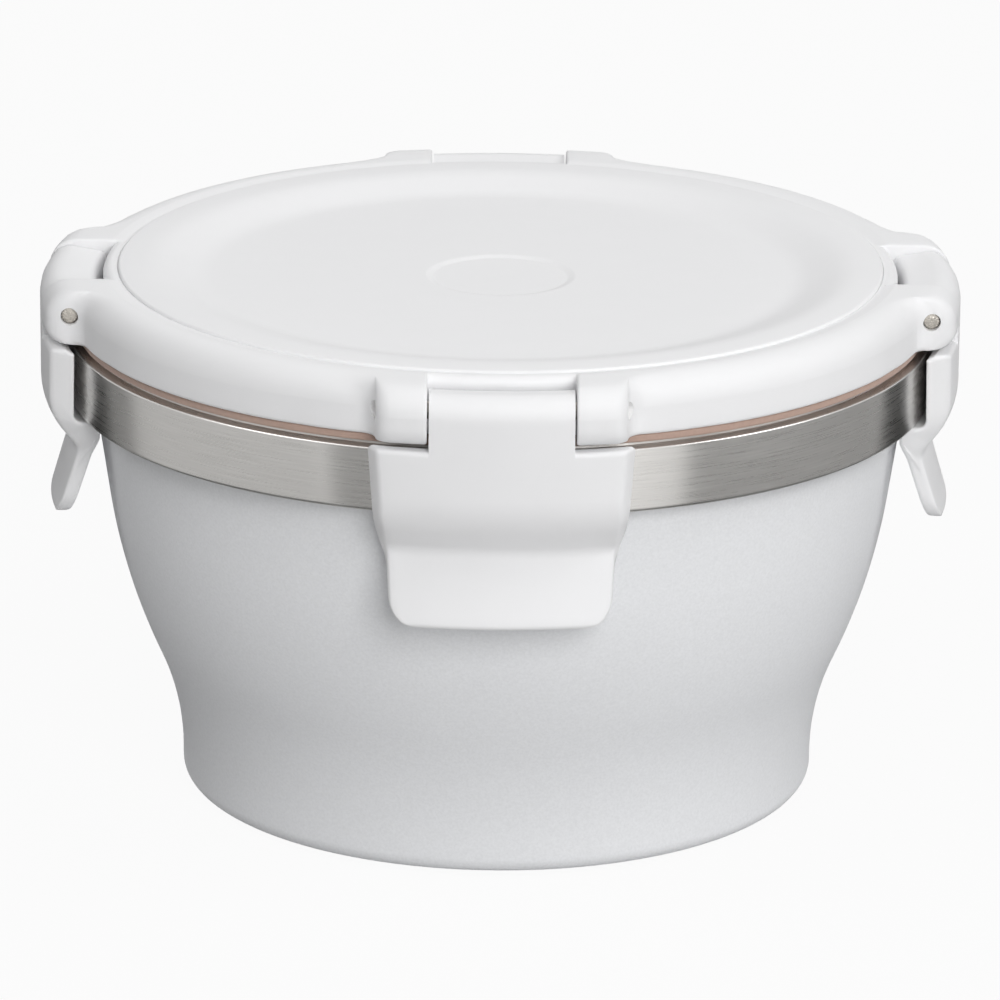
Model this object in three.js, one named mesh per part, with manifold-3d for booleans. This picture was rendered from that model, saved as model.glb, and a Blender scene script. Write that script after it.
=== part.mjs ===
// Lidded bowl: a double-walled steel bowl with a bare rim band, and a plastic lid that four hinged
// latches draw down on a gasket. Millimetres, +Z up. The origin lies on the table under the bowl's
// axis, and the front latch faces -Y.
import * as THREE from 'three';
import { mergeVertices } from 'three/addons/utils/BufferGeometryUtils.js';
import Module from 'manifold-3d';

const wasm = await Module();
wasm.setup();

// Bowl: the outer wall stands upright at the foot, curves out in a cove, back in over a hip, and
// runs on as a cone. Angles are degrees from upright.
const footRadius = 55.5;
const footHeight = 4.7;
const footEdgeRadius = 1.8;
const coveRadius = 49.5;
const flareAngle = 24.4;
const hipRadius = 105;
const coneAngle = 8.4;
const rimHeight = 82.4;
const sheet = 0.8;
const vacuumGap = 3;
const linerFloorHeight = 7.5;
const linerCornerRadius = 12;

// Base: the shell's foot turns in to a flange, and a dished plate closes the vacuum above it.
const baseFlangeWidth = 5;
const basePlateRimWidth = 6;
const basePlateRise = 1;
const sealBeadRadius = 4;
const sealBeadHeight = 0.8;
const getterRadius = 8;
const getterHeight = 1.6;

// Rim band: a folded collar that stands out from the shell, so its lower edge is a ledge.
const bandHeight = 11.6;
const bandLedge = 4.2;
const bandSheet = 1;
const bandEdgeRadius = 0.8;

// Lid: the frame's spigot drops into the bowl, its skirt sits over the gasket, and a dished panel
// closes the top.
const gasketThickness = 0.9;
const gasketInset = 0.7;
const spigotDepth = 5.5;
const spigotClearance = 0.8;
const lidFloorThickness = 2;
const skirtInset = 0.2;
const skirtEdgeChamfer = 0.5;
const lidHeight = 8.6;
const lidShoulderRadius = 3.6;
const panelRise = 0.9;
const panelFlangeDepth = 1.6;
const panelLedgeWidth = 3;
const panelEdgeChamfer = 0.4;
const panelThickness = 2;
const dishDepth = 2.45;
const dishSlopeWidth = 8;
const dishLandWidth = 6.3;
const discRadius = 13;
const discRecess = 0.35;

// Hinges: each latch turns on a steel pin held in two lugs of the lid frame.
const hingeInset = 1.1;
const hingeHeight = 5;
const pinRadius = 1.5;
const pinRecess = 0.8;
const boreClearance = 0.3;
const swingClearance = 0.4;
const hubRadius = 4.9;
const notchWall = 1.8;
const lugHalfWidth = 20.8;
const lugRise = 0.6;
const lugDrop = 4.7;
const lugCornerRadius = 3.5;
const latchShoulderDrop = 5.7;

// Latches: a tongue on the pin, a flap outside the band, a nose at its ledge and a finger tab.
const bandSlot = 1.2;
const flapThickness = 3.8;
const tongueHalfWidth = 11.9;
const tongueSideGap = 0.4;
const tongueTopHeight = 4.1;
const tongueCornerRadius = 4;
const flapHalfWidth = 21.5;
const flapTaper = 1.2;
const flapEdgeRadius = 1;
const bendRise = 2;
const creaseDrop = 4;
const creaseDepth = 2.2;
const noseClearance = 0.3;
const noseDrop = 0.35;
const noseLeadIn = 0.3;
const tabHalfWidth = 18.7;
const tabTaper = 0.9;
const tabCornerRadius = 4;
const tabLength = 13.6;
const tabFlareHeight = 4.3;
const tabFlareInset = 0.2;
const tabTipRadius = 1.6;

const seatGap = 0.3;
const turnSegments = 40;
const latchSegments = 96;
const wallSteps = 6;
const arcSteps = 4;

const degrees = Math.PI / 180;
const flare = flareAngle * degrees;
const cone = coneAngle * degrees;

// Places that several pieces share
const bandBottom = rimHeight - bandHeight;
const bandRadius = wallRadius(bandBottom, 0) + bandLedge;
const shellTop = rimHeight - bandSheet - seatGap;
const linerInset = sheet + vacuumGap;
const basePlateBottom = sheet + seatGap;
const baseFlangeRadius = footRadius - footEdgeRadius - baseFlangeWidth;
const lidSeat = rimHeight + gasketThickness + 2 * seatGap;
const lidShoulder = lidSeat + lidHeight;
const spigotBottom = lidSeat - spigotDepth;
const spigotRadius = wallRadius(spigotBottom, linerInset + sheet) - spigotClearance;
const skirtRadius = bandRadius - skirtInset;
const hingeRadius = bandRadius - hingeInset;
const hingeAxisHeight = lidSeat + hingeHeight;
const notchRadius = hubRadius + swingClearance;
const notchHalfWidth = tongueHalfWidth + tongueSideGap;
const panelRadius = hingeRadius - notchRadius - notchWall - seatGap;
const panelTop = lidShoulder + panelRise;
const panelSeat = lidShoulder - panelFlangeDepth;
const flapInnerRadius = bandRadius + bandSlot;
const latchRadius = flapInnerRadius + flapThickness;
const lidTop = lidShoulder + Math.max(panelRise, lugRise);

const steel = { metalness: 1, roughness: 0.35 };
const plastic = { metalness: 0, roughness: 0.45 };
const colours = {
  powderCoat: 0xe6e7e9,
  brushedSteel: 0xb4b2ae,
  polishedSteel: 0xc4c4c2,
  sealGlass: 0x8a8c90,
  getterMetal: 0x77777a,
  whitePlastic: 0xf0f0f1,
  silicone: 0xa98f84,
};

// Radius of the bowl's outer wall at a height, moved in by inset along the wall's normal.
function wallRadius(height, inset) {
  const coveCentre = footRadius + coveRadius;
  const coveArc = coveRadius + inset;
  const hipArc = hipRadius - inset;
  const bendSum = coveRadius + hipRadius;
  const hipCentre = coveCentre - bendSum * Math.cos(flare);
  const hipCentreHeight = footHeight + bendSum * Math.sin(flare);
  const coveEnd = footHeight + coveArc * Math.sin(flare);
  const hipEnd = hipCentreHeight - hipArc * Math.sin(cone);
  if (height <= footHeight) return footRadius - inset;
  if (height <= coveEnd) {
    return coveCentre - Math.sqrt(coveArc ** 2 - (height - footHeight) ** 2);
  }
  if (height <= hipEnd) {
    return hipCentre + Math.sqrt(hipArc ** 2 - (hipCentreHeight - height) ** 2);
  }
  return hipCentre + hipArc * Math.cos(cone) + (height - hipEnd) * Math.tan(cone);
}

function wallPoints(inset, from, to) {
  const points = [];
  for (let step = 0; step <= wallSteps; step += 1) {
    const height = from + ((to - from) * step) / wallSteps;
    points.push(point(wallRadius(height, inset), height));
  }
  return points;
}

function point(across, up) {
  return new THREE.Vector2(across, up);
}

// Points on an arc about a centre, from one angle to another in degrees, both ends included.
function arc(across, up, radius, fromDegrees, toDegrees, steps = arcSteps) {
  const points = [];
  for (let step = 0; step <= steps; step += 1) {
    const angle = (fromDegrees + ((toDegrees - fromDegrees) * step) / steps) * degrees;
    points.push(point(across + radius * Math.cos(angle), up + radius * Math.sin(angle)));
  }
  return points;
}

// A round corner between a floor at one height and a wall that leaves it at a radius.
function corner(startRadius, floor, wallFoot, endRadius, endHeight) {
  const bend = new THREE.QuadraticBezierCurve(
    point(startRadius, floor),
    point(wallFoot, floor),
    point(endRadius, endHeight),
  );
  return bend.getPoints(arcSteps + 1);
}

// Turns an outline of radius and height about +Z. The outline runs anticlockwise, and either closes
// on itself or starts and ends on the axis.
function turned(outline, segments = turnSegments) {
  const onAxis = outline[0].x === 0 && outline[outline.length - 1].x === 0;
  const closed = onAxis ? outline : [...outline, outline[0].clone()];
  const geometry = new THREE.LatheGeometry(closed, segments);
  geometry.rotateX(Math.PI / 2);
  return welded(geometry);
}

// Extrudes a section of distance from the axis and height along X, across the front of the bowl.
function acrossFront(section, halfWidth) {
  const geometry = new THREE.ExtrudeGeometry(new THREE.Shape(section), {
    depth: 2 * halfWidth,
    bevelEnabled: false,
  });
  geometry.rotateX(Math.PI / 2);
  geometry.rotateZ(-Math.PI / 2);
  geometry.translate(halfWidth, 0, 0);
  return welded(geometry);
}

// Extrudes a front view outline of X and height along -Y, out through the front of the bowl.
function throughFront(outline, depth) {
  const geometry = new THREE.ExtrudeGeometry(new THREE.Shape(outline), { depth, bevelEnabled: false });
  geometry.rotateX(Math.PI / 2);
  return welded(geometry);
}

// Merges shared vertices and drops the slivers that a turned outline leaves on its axis.
function welded(geometry) {
  geometry.deleteAttribute('normal');
  geometry.deleteAttribute('uv');
  const merged = mergeVertices(geometry, 1e-4);
  const kept = [];
  const index = merged.index.array;
  for (let at = 0; at < index.length; at += 3) {
    const [a, b, c] = [index[at], index[at + 1], index[at + 2]];
    if (a !== b && b !== c && c !== a) kept.push(a, b, c);
  }
  merged.setIndex(kept);
  return merged;
}

function solid(geometry) {
  const mesh = new wasm.Mesh({
    numProp: 3,
    vertProperties: new Float32Array(geometry.attributes.position.array),
    triVerts: new Uint32Array(geometry.index.array),
  });
  return new wasm.Manifold(mesh);
}

function surface(body) {
  const mesh = body.getMesh();
  const geometry = new THREE.BufferGeometry();
  geometry.setAttribute('position', new THREE.BufferAttribute(mesh.vertProperties, 3));
  geometry.setIndex(new THREE.BufferAttribute(mesh.triVerts, 1));
  return geometry;
}

function piece(name, geometry, color, finish) {
  geometry.computeVertexNormals();
  const mesh = new THREE.Mesh(geometry, new THREE.MeshStandardMaterial({ color, ...finish }));
  mesh.name = name;
  return mesh;
}

function outerShell() {
  const edge = footRadius - footEdgeRadius;
  return turned([
    point(baseFlangeRadius, 0),
    ...arc(edge, footEdgeRadius, footEdgeRadius, -90, 0),
    ...wallPoints(0, footHeight, shellTop),
    ...wallPoints(sheet, footHeight, shellTop).reverse(),
    ...arc(edge, footEdgeRadius, footEdgeRadius - sheet, 0, -90),
    point(baseFlangeRadius, sheet),
  ]);
}

function linerSide(inset, floor) {
  const wallStart = floor + linerCornerRadius;
  const wallFoot = wallRadius(floor, inset);
  return [
    ...corner(wallFoot - linerCornerRadius, floor, wallFoot, wallRadius(wallStart, inset), wallStart),
    ...wallPoints(inset, wallStart, rimHeight).slice(1),
  ];
}

function innerLiner() {
  return turned([
    point(0, linerFloorHeight),
    ...linerSide(linerInset, linerFloorHeight),
    ...linerSide(linerInset + sheet, linerFloorHeight + sheet).reverse(),
    point(0, linerFloorHeight + sheet),
  ]);
}

function basePlate() {
  const rim = footRadius - sheet - seatGap;
  const dish = rim - basePlateRimWidth;
  const low = basePlateBottom;
  const high = low + basePlateRise;
  return turned([
    point(0, high),
    point(dish - basePlateRise, high),
    point(dish, low),
    point(rim, low),
    point(rim, low + sheet),
    point(dish, low + sheet),
    point(dish - basePlateRise, high + sheet),
    point(0, high + sheet),
  ]);
}

// The bead seals the hole that the vacuum was drawn through, under the middle of the plate.
function sealBead() {
  const top = basePlateBottom + basePlateRise - seatGap;
  return turned([
    point(0, top - sealBeadHeight),
    point(sealBeadRadius - sealBeadHeight, top - sealBeadHeight),
    point(sealBeadRadius, top),
    point(0, top),
  ]);
}

// The getter lies in the vacuum, on the middle of the plate.
function getterDisc() {
  const bottom = basePlateBottom + basePlateRise + sheet + seatGap;
  return turned([
    point(0, bottom),
    point(getterRadius, bottom),
    point(getterRadius, bottom + getterHeight),
    point(0, bottom + getterHeight),
  ]);
}

function rimBand() {
  const lowerLip = wallRadius(bandBottom + bandSheet, 0) + seatGap;
  const upperLip = wallRadius(rimHeight, linerInset) + seatGap;
  const inside = bandRadius - bandSheet;
  const edge = bandRadius - bandEdgeRadius;
  return turned([
    point(lowerLip, bandBottom),
    point(bandRadius, bandBottom),
    ...arc(edge, rimHeight - bandEdgeRadius, bandEdgeRadius, 0, 90),
    point(upperLip, rimHeight),
    point(upperLip, rimHeight - bandSheet),
    point(inside, rimHeight - bandSheet),
    point(inside, bandBottom + bandSheet),
    point(lowerLip, bandBottom + bandSheet),
  ]);
}

function lidGasket() {
  const inside = spigotRadius + seatGap;
  const outside = bandRadius - gasketInset;
  const bottom = rimHeight + seatGap;
  return turned([
    point(inside, bottom),
    point(outside, bottom),
    point(outside, bottom + gasketThickness),
    point(inside, bottom + gasketThickness),
  ]);
}

function lidFrameRing() {
  const cavity = panelRadius - panelLedgeWidth;
  const shoulderStart = skirtRadius - lidShoulderRadius;
  const floorTop = spigotBottom + lidFloorThickness;
  return turned([
    point(0, spigotBottom),
    point(spigotRadius, spigotBottom),
    point(spigotRadius, lidSeat),
    point(skirtRadius - skirtEdgeChamfer, lidSeat),
    point(skirtRadius, lidSeat + skirtEdgeChamfer),
    ...arc(shoulderStart, lidShoulder - lidShoulderRadius, lidShoulderRadius, 0, 90),
    point(panelRadius + seatGap, lidShoulder),
    point(panelRadius + seatGap, panelSeat),
    point(cavity, panelSeat),
    point(cavity, floorTop),
    point(0, floorTop),
  ]);
}

// The lugs' section: rounded over the top, and round the hinge below so that the flap swings past.
function lugSection() {
  const reach = latchShoulderDrop - swingClearance;
  const root = hingeRadius - notchRadius;
  const top = lidShoulder + lugRise;
  const bottom = hingeAxisHeight - lugDrop;
  const outer = hingeRadius + reach;
  const turn = Math.asin(lugDrop / reach) / degrees;
  return [
    point(root, bottom),
    ...arc(hingeRadius, hingeAxisHeight, reach, -turn, 0),
    ...arc(outer - lugCornerRadius, top - lugCornerRadius, lugCornerRadius, 0, 90),
    point(root, top),
  ];
}

// The notch that the tongue turns in: round the hinge behind and below, open above and in front.
function notchSection() {
  const outside = latchRadius + notchRadius;
  const above = lidTop + notchRadius;
  return [
    point(hingeRadius - notchRadius, above),
    ...arc(hingeRadius, hingeAxisHeight, notchRadius, 180, 270),
    point(outside, hingeAxisHeight - notchRadius),
    point(outside, above),
  ];
}

// The hole for the pin, through both lugs and the tongue.
function pinBore() {
  const round = arc(hingeRadius, hingeAxisHeight, pinRadius + boreClearance, 0, 337.5, 15);
  return acrossFront(round, lugHalfWidth + boreClearance);
}

// Everything inside the latches' outer radius, to give the straight sections their curved faces.
function latchDrum() {
  return turned(
    [point(0, 0), point(latchRadius, 0), point(latchRadius, 2 * lidTop), point(0, 2 * lidTop)],
    latchSegments,
  );
}

function lidFrame() {
  const drum = solid(latchDrum());
  const lugs = solid(acrossFront(lugSection(), lugHalfWidth)).intersect(drum);
  const notch = solid(acrossFront(notchSection(), notchHalfWidth));
  const bore = solid(pinBore());
  let frame = solid(lidFrameRing());
  for (const turn of [0, 90, 180, 270]) {
    const cut = notch.add(bore).rotate([0, 0, turn]);
    frame = frame.add(lugs.rotate([0, 0, turn])).subtract(cut);
  }
  return surface(frame);
}

function lidPanel() {
  const land = panelRadius - dishLandWidth;
  const floorEdge = land - dishSlopeWidth;
  const floor = panelTop - dishDepth;
  const flangeBottom = panelSeat + seatGap;
  return turned([
    point(0, floor - panelThickness),
    point(floorEdge, floor - panelThickness),
    point(land, flangeBottom),
    point(panelRadius, flangeBottom),
    point(panelRadius, panelTop - panelEdgeChamfer),
    point(panelRadius - panelEdgeChamfer, panelTop),
    point(land, panelTop),
    point(floorEdge, floor),
    point(discRadius, floor),
    point(discRadius - discRecess, floor - discRecess),
    point(0, floor - discRecess),
  ]);
}

// The flap and tab in section: flap face, bend, crease, flared tab, round tip, nose and slot wall.
function latchOutline() {
  const top = hingeAxisHeight - latchShoulderDrop;
  const bendTop = bandBottom + bendRise;
  const crease = bandBottom - creaseDrop;
  const tip = crease - tabLength;
  const creaseRadius = latchRadius - creaseDepth;
  const flareRadius = latchRadius - tabFlareInset;
  const noseRadius = bandRadius + noseClearance;
  const noseTop = bandBottom - noseDrop;
  const bend = new THREE.QuadraticBezierCurve(
    point(creaseRadius, crease),
    point(latchRadius, bendTop - bendRise),
    point(latchRadius, bendTop),
  );
  const sweep = new THREE.QuadraticBezierCurve(
    point(flareRadius, tip + tabFlareHeight),
    point(flareRadius - tabFlareInset, crease - tabFlareHeight),
    point(creaseRadius, crease),
  );
  return [
    point(noseRadius, tip + tabFlareHeight),
    point(flareRadius - 2 * tabTipRadius, tip + tabTipRadius),
    ...arc(flareRadius - tabTipRadius, tip + tabTipRadius, tabTipRadius, -150, 0),
    ...sweep.getPoints(arcSteps),
    ...bend.getPoints(arcSteps).slice(1),
    ...arc(latchRadius - flapEdgeRadius, top - flapEdgeRadius, flapEdgeRadius, 0, 90, 2),
    point(flapInnerRadius, top),
    point(flapInnerRadius, noseTop),
    point(noseRadius + noseLeadIn, noseTop),
    point(noseRadius, noseTop - noseLeadIn),
  ];
}

// The latch's front view: the flap tapers down to the crease and the narrower tab ends in round corners.
function latchFrontView() {
  const shoulder = hingeAxisHeight - latchShoulderDrop;
  const crease = bandBottom - creaseDrop;
  const bottom = crease - tabLength - seatGap;
  const flapFoot = flapHalfWidth - flapTaper;
  const tabFoot = tabHalfWidth - tabTaper;
  const right = [
    ...arc(tabFoot - tabCornerRadius, bottom + tabCornerRadius, tabCornerRadius, -90, 0),
    point(tabHalfWidth, crease),
    point(flapFoot, crease + creaseDepth),
    point(flapHalfWidth, shoulder),
    point(flapHalfWidth, hingeAxisHeight),
  ];
  const left = right.map((corner) => point(-corner.x, corner.y)).reverse();
  return [...right, ...left];
}

// The tongue in section: a hub round the pin that runs down into the flap's face.
function tongueSection() {
  const foot = hingeAxisHeight - latchShoulderDrop - flapEdgeRadius;
  const web = flapInnerRadius - hingeRadius;
  const webTurn = Math.asin(web / hubRadius) / degrees;
  const topTurn = Math.acos(tongueTopHeight / hubRadius) / degrees;
  const top = hingeAxisHeight + tongueTopHeight;
  return [
    point(flapInnerRadius, foot),
    point(latchRadius, foot),
    ...arc(latchRadius - tongueCornerRadius, top - tongueCornerRadius, tongueCornerRadius, 0, 90),
    ...arc(hingeRadius, hingeAxisHeight, hubRadius, 90 + topTurn, 270 + webTurn, 9),
  ];
}

function latch() {
  const flap = solid(turned(latchOutline(), latchSegments));
  const frontView = solid(throughFront(latchFrontView(), latchRadius + flapThickness));
  const tongue = solid(acrossFront(tongueSection(), tongueHalfWidth)).intersect(solid(latchDrum()));
  const bore = solid(pinBore());
  return surface(flap.intersect(frontView).add(tongue).subtract(bore));
}

function hingePin() {
  const pin = new THREE.CylinderGeometry(pinRadius, pinRadius, 2 * (lugHalfWidth - pinRecess), 16);
  pin.rotateZ(Math.PI / 2);
  return welded(pin);
}

const bowl = new THREE.Group();
bowl.add(
  piece('outer_shell', outerShell(), colours.powderCoat, plastic),
  piece('inner_liner', innerLiner(), colours.polishedSteel, steel),
  piece('base_plate', basePlate(), colours.brushedSteel, steel),
  piece('vacuum_seal_bead', sealBead(), colours.sealGlass, plastic),
  piece('getter_disc', getterDisc(), colours.getterMetal, steel),
  piece('rim_band', rimBand(), colours.brushedSteel, steel),
);

const lid = new THREE.Group();
lid.add(
  piece('lid_frame', lidFrame(), colours.whitePlastic, plastic),
  piece('lid_panel', lidPanel(), colours.whitePlastic, plastic),
  piece('lid_gasket', lidGasket(), colours.silicone, plastic),
);

const latchShape = latch();
['front', 'right', 'back', 'left'].forEach((side, quarter) => {
  const hinge = new THREE.Group();
  hinge.rotation.z = (quarter * Math.PI) / 2;
  const pin = piece(`hinge_pin_${side}`, hingePin(), colours.polishedSteel, steel);
  pin.position.set(0, -hingeRadius, hingeAxisHeight);
  hinge.add(piece(`latch_${side}`, latchShape.clone(), colours.whitePlastic, plastic), pin);
  lid.add(hinge);
});

const lidded = new THREE.Group();
lidded.add(bowl, lid);

export default lidded;
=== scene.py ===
"""Lidded bowl: a powder-coated steel bowl with a bare rim band, closed by a lid with four hinged latches."""
import math

import bmesh
import bpy
from bpy.props import FloatProperty, FloatVectorProperty, PointerProperty
from bpy.types import Operator, Panel, PropertyGroup
from mathutils import Matrix, Vector


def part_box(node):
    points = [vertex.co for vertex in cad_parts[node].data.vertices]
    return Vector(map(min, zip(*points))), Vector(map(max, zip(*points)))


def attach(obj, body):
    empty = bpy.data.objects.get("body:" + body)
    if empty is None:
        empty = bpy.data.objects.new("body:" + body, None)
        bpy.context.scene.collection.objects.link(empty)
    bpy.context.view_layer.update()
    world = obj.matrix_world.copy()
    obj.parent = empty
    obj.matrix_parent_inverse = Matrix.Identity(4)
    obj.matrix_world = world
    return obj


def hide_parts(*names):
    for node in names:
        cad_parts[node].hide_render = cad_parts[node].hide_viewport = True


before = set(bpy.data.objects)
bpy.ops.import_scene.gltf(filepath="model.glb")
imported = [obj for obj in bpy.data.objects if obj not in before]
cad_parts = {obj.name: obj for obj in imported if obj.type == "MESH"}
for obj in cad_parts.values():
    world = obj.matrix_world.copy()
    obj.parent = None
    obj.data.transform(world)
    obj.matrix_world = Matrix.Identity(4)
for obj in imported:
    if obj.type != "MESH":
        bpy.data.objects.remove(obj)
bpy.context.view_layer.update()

bl_info = {
    "name": "Lidded bowl",
    "version": (1, 0, 0),
    "blender": (4, 5, 0),
    "location": "View3D > Sidebar > Bowl",
    "description": "Builds an insulated bowl with a latched lid round its packed solids",
    "category": "Add Mesh",
}

MM = 0.001
SIDES = ("front", "right", "back", "left")

TURN_SEGMENTS = 160
ARC_STEPS = 5
WALL_STEPS = 40
SHARP_ANGLE = math.radians(38)
WELD = 0.002 * MM
EDGE_COLUMNS = 4

# Small radii that soften edges.
FINE_ROUND = 0.2 * MM
SMALL_ROUND = 0.3 * MM
HOOK_TOP_ROUND = 0.5 * MM
BEAD_ROUND = 0.7 * MM
SPIGOT_ROUND = 1 * MM
HOOK_ROUND = 1 * MM
DISC_ROUND = 2 * MM
PANEL_UNDER_ROUND = 4 * MM

# Columns of the lid frame, from a latch's middle outwards, and of the bare ring between two latches.
NOTCH_COLUMNS = 6
LUG_COLUMNS = 4
LUG_END_COLUMNS = 5
FILLET_COLUMNS = 16
RADIAL_START = math.radians(30)
RADIAL_COLUMNS = 25
FLARE_POWER = 5
NOTCH_LEAN = 0.5 * MM
NOTCH_DROP = 0.2 * MM
GROOVE_WIDTH = 0.6 * MM
GROOVE_ROUND = 0.5 * MM
SHOULDER_FOOT_ROUND = 2 * MM

# Columns and rows of a latch, and the share of its depth over which its sides start to lean.
TONGUE_COLUMNS = 6
FLAP_COLUMNS = 7
LATCH_ROWS = 12
LEAN_BLEND = 0.4
TONGUE_STEP = 0.5 * MM
SLOPE_SHARE = 0.35

PIN_SIDES = 96
PIN_SPLINES = 16
DRILL_SIDES = 48

# Studio: lights as name, bearing from the front, rise and watts; cards as name, bearings and grey.
ROOM_LIGHT = 0.07
WHITE_SHARE = 0.94
LIGHT_DISTANCE = 1.5
LIGHT_SIZE = 0.75
LIGHTS = (
    ("key_softbox", 15, 24, 12.5),
    ("right_softbox", 80, 40, 7),
    ("left_softbox", -75, 48, 5),
    ("top_softbox", 0, 85, 2.6),
    ("back_softbox", 180, 45, 3.5),
)
CARD_RADIUS = 0.135
CARD_HEIGHT = 0.1
CARD_STEPS = 12
CARDS = (
    ("grey_card_front_left", -33, -19, "#A6A6A6"),
    ("pale_card_left", -84, -35, "#D4D4D4"),
    ("grey_card_back_left", -95, -85, "#8E8E8E"),
    ("dark_card_back_left", -135, -96, "#181818"),
    ("grey_card_right", 36, 90, "#A8A8A8"),
    ("dark_card_back_right", 92, 125, "#363636"),
)
SHADE_CARD = (0.064, 0.128)
SHADE_CARD_GREY = "#4A4A4A"
SHADE_CARD_HEIGHT = 0.3 * MM
FLOOR_SIDES = 96

BAND_LOW, BAND_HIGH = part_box("rim_band")
LINER_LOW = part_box("inner_liner")[0]
PLATE_LOW, PLATE_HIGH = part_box("base_plate")
BEAD_LOW, BEAD_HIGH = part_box("vacuum_seal_bead")
GETTER_LOW, GETTER_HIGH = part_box("getter_disc")
GASKET_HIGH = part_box("lid_gasket")[1]
PANEL_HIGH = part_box("lid_panel")[1]
FRAME_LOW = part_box("lid_frame")[0]
LATCH_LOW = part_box("latch_front")[0]
PIN_LOW, PIN_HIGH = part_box("hinge_pin_front")


def linear(code):
    """Linear red, green and blue of an sRGB hex colour."""
    parts = [int(code[at:at + 2], 16) / 255 for at in (1, 3, 5)]
    return [part / 12.92 if part <= 0.04045 else ((part + 0.055) / 1.055) ** 2.4 for part in parts]


def length(name, default, description):
    return FloatProperty(name=name, description=description, default=default, unit="LENGTH", precision=5)


def angle(name, degrees, description):
    default = math.radians(degrees)
    return FloatProperty(name=name, description=description, default=default, subtype="ANGLE", precision=4)


def colour(name, code, description):
    default = linear(code)
    return FloatVectorProperty(
        name=name, description=description, default=default, subtype="COLOR", min=0, max=1)


class BowlSizes(PropertyGroup):
    """Sizes of the double-walled bowl and its rim band."""

    foot_radius: length("Foot radius", 55.5 * MM, "Outer radius of the upright foot")
    foot_height: length("Foot height", 4.7 * MM, "Height at which the foot starts to curve out")
    foot_edge: length("Foot edge", 2.8 * MM, "Radius of the foot's lower edge")
    foot_lift: length("Foot lift", 1.2 * MM, "How far the foot's underside rises towards its edge")
    foot_slope: length("Foot slope", 3.6 * MM, "Width of the rising part of the foot's underside")
    flange_width: length("Flange width", 6.8 * MM, "Width of the foot's underside")
    cove_radius: length("Cove radius", 49.5 * MM, "Radius of the hollow curve above the foot")
    flare: angle("Flare", 24.4, "Steepest lean of the wall, from upright")
    hip_radius: length("Hip radius", 105 * MM, "Radius of the full curve above the cove")
    cone: angle("Cone", 8.4, "Lean of the wall below the rim, from upright")
    sheet: length("Sheet", 0.8 * MM, "Thickness of the steel sheet")
    vacuum_gap: length("Vacuum gap", 3 * MM, "Gap between the shell and the liner")
    liner_corner: length("Liner corner", 12 * MM, "Radius where the liner's floor meets its wall")
    plate_rise: length("Plate rise", 1 * MM, "Height that the base plate's middle is dished up")
    plate_rim: length("Plate rim", 6 * MM, "Width of the base plate's flat rim")
    band_radius: length("Band radius", BAND_HIGH.x, "Outer radius of the rim band")
    band_bottom: length("Band bottom", BAND_LOW.z - 0.2 * MM, "Height of the band's lower edge")
    rim_height: length("Rim height", BAND_HIGH.z, "Height of the bowl's rim")
    band_sheet: length("Band sheet", 1 * MM, "Thickness of the rim band")
    band_neck: length("Band neck", 0.7 * MM, "Height of the neck between the band's face and its rim")
    band_step: length("Band step", 2.2 * MM, "Depth of the recessed neck")
    band_top_edge: length("Band top edge", 0.3 * MM, "Radius of the edge above the band's face")
    band_low_edge: length("Band low edge", 0.9 * MM, "Radius of the band's lower edge")


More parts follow.
